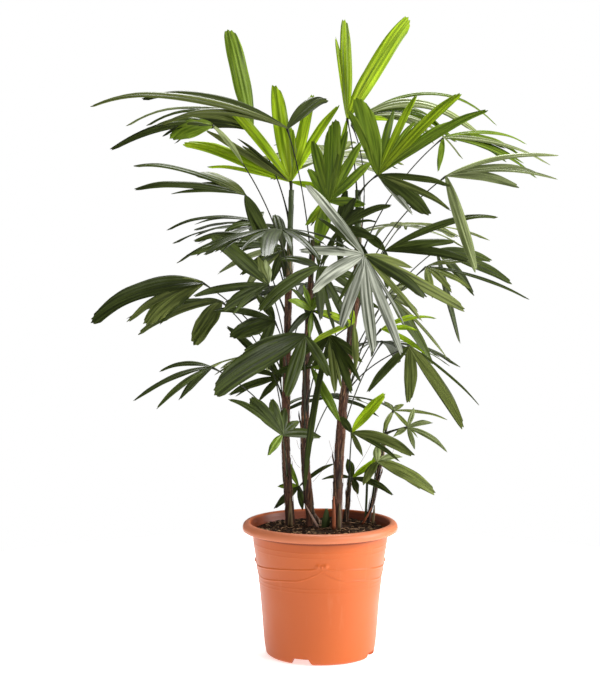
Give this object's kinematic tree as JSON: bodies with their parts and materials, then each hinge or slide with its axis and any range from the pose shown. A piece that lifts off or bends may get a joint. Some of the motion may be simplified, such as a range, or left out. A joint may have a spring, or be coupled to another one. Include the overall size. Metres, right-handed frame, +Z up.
{
  "type": "potted lady palm",
  "caption": "Lady palm clump with slender fibrous canes and fan-shaped fronds, growing in a round terracotta-coloured plastic pot.",
  "frame": {"origin": "centre of the pot's flat underside", "axes": "+Z up, -Y towards the side that the plant is seen from, +X to that viewer's right"},
  "size_m": [0.7011, 0.6437, 0.989],
  "materials": {
    "terracotta_plastic": "satin",
    "potting_soil": "matt",
    "cane_sheath": "matt, fibrous",
    "dry_fibre": "matt",
    "leaf_mature": "satin",
    "leaf_young": "satin",
    "leaf_silvery": "satin"
  },
  "bodies": {
    "root": {"pot": "terracotta_plastic", "soil": "potting_soil", "cane_a": "cane_sheath", "cane_b": "cane_sheath", "cane_c": "cane_sheath", "cane_d": "cane_sheath", "cane_e": "cane_sheath", "dead_stub": "dry_fibre", "frond_01": "leaf_mature", "frond_02": "leaf_young", "frond_03": "leaf_mature", "frond_04": "leaf_young", "frond_05": "leaf_mature", "frond_06": "leaf_mature", "frond_07": "leaf_mature", "frond_08": "leaf_mature", "frond_09": "leaf_mature", "frond_10": "leaf_mature", "frond_11": "leaf_mature", "frond_12": "leaf_mature", "frond_13": "leaf_mature", "frond_14": "leaf_mature", "frond_15": "leaf_mature", "frond_16": "leaf_silvery", "frond_17": "leaf_mature", "frond_18": "leaf_mature", "frond_19": "leaf_mature", "frond_20": "leaf_mature", "frond_21": "leaf_mature", "frond_22": "leaf_young", "frond_23": "leaf_young", "frond_24": "leaf_mature", "frond_25": "leaf_mature", "frond_26": "leaf_mature", "frond_27": "leaf_young", "frond_28": "leaf_mature", "frond_29": "leaf_young", "frond_30": "leaf_mature", "frond_31": "leaf_mature", "frond_32": "leaf_mature", "frond_33": "leaf_mature", "frond_34": "leaf_mature", "frond_35": "leaf_mature", "frond_36": "leaf_mature", "frond_37": "leaf_mature", "frond_38": "leaf_mature", "frond_39": "leaf_mature", "frond_40": "leaf_mature", "frond_41": "leaf_mature", "frond_42": "leaf_mature", "frond_43": "leaf_mature", "frond_44": "leaf_mature", "frond_45": "leaf_mature", "frond_46": "leaf_mature", "frond_47": "leaf_mature", "frond_48": "leaf_mature"}
  },
  "joints": []
}
